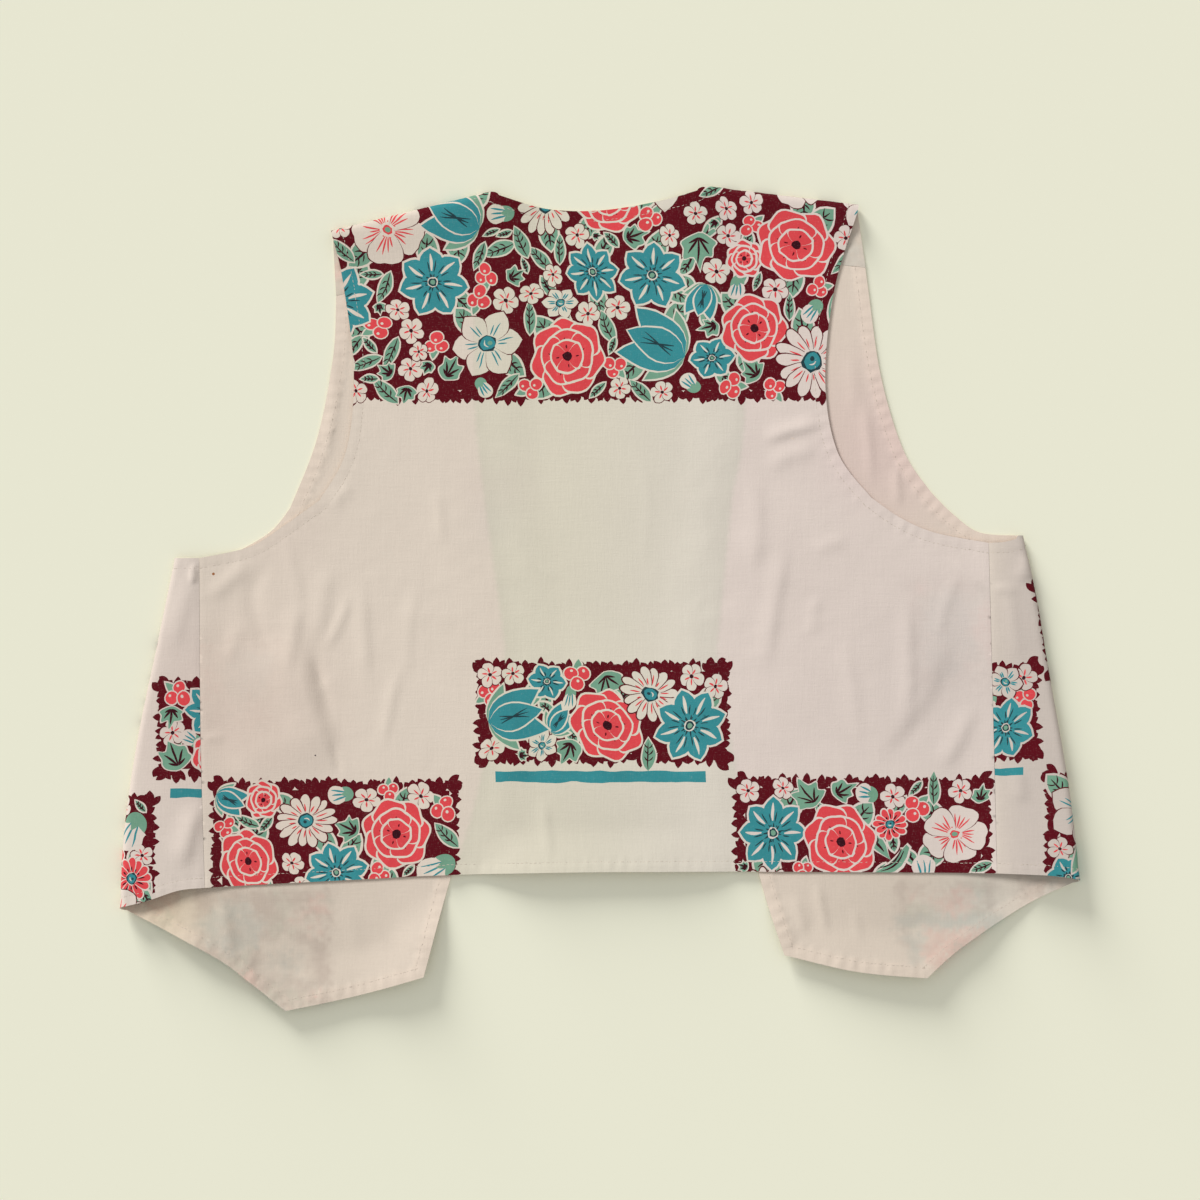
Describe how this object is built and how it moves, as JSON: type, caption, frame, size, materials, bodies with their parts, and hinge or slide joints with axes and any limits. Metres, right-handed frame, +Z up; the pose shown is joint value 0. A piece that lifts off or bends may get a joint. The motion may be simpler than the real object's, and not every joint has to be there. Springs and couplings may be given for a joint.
{
  "type": "waistcoat",
  "caption": "Sleeveless waistcoat laid flat with its back uppermost, soft folds at the sides and shoulders, and pointed fronts that show below the back hem.",
  "frame": {"origin": "centre of the bounding box, on the surface that the waistcoat lies on", "axes": "+Z up from the surface, +Y towards the neck, +X towards the wearer's right side"},
  "size_m": [0.594, 0.51, 0.01],
  "materials": {
    "printed_cotton": "matt plain weave",
    "sewing_thread": "matt cotton thread"
  },
  "bodies": {
    "root": {"back": "printed_cotton", "front_left": "printed_cotton", "front_right": "printed_cotton"}
  },
  "joints": []
}
